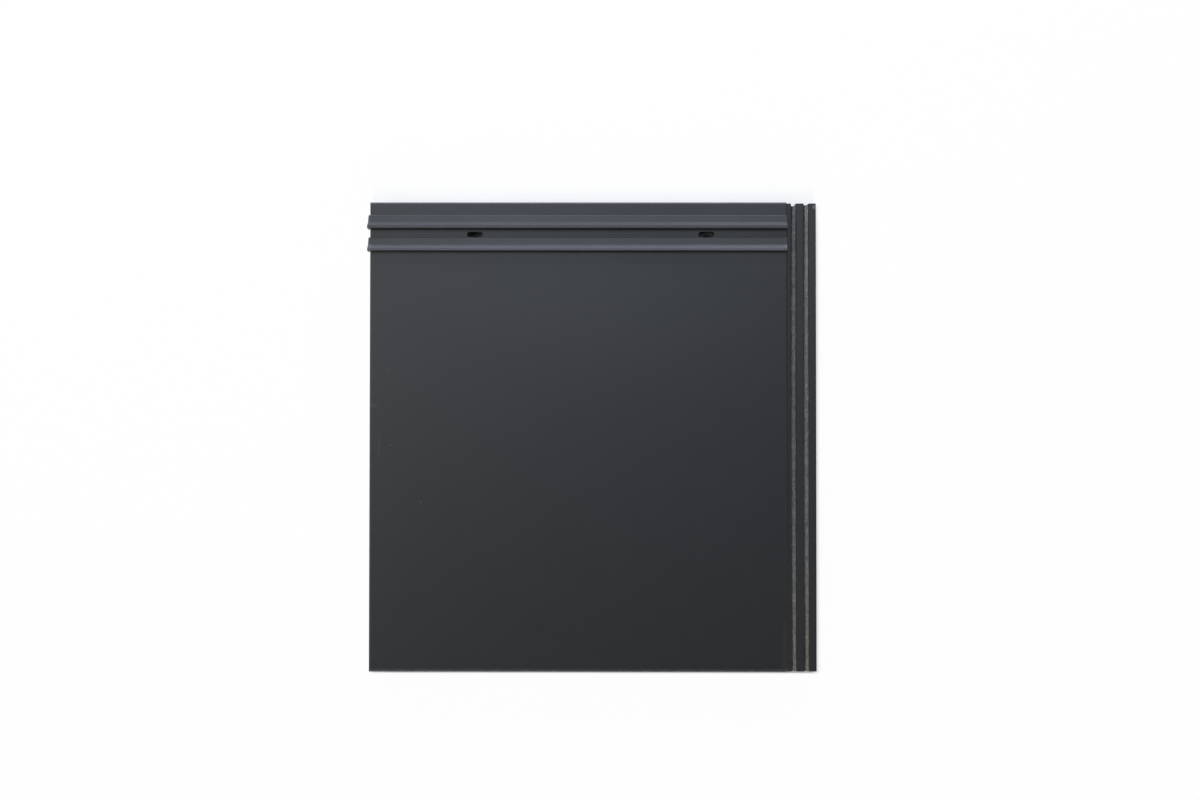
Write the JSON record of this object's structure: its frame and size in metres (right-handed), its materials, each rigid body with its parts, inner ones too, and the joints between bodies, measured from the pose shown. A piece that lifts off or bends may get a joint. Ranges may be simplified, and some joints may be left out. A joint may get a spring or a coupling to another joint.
{
  "type": "solar roof tile",
  "caption": "Flat dark grey interlocking roof tile with raised water bars across its head, slotted fixing holes and a channelled side lock strip.",
  "frame": {"origin": "on the floor under the middle of the tile's box, the tile lying on its nibs and weather bars", "axes": "+Z out of the weather face, +Y up the roof to the head with the water bars, +X to the underlock strip"},
  "size_m": [0.45, 0.47, 0.028],
  "materials": {
    "coated_concrete": "satin"
  },
  "bodies": {
    "root": {"roof_tile": "coated_concrete"}
  },
  "joints": []
}
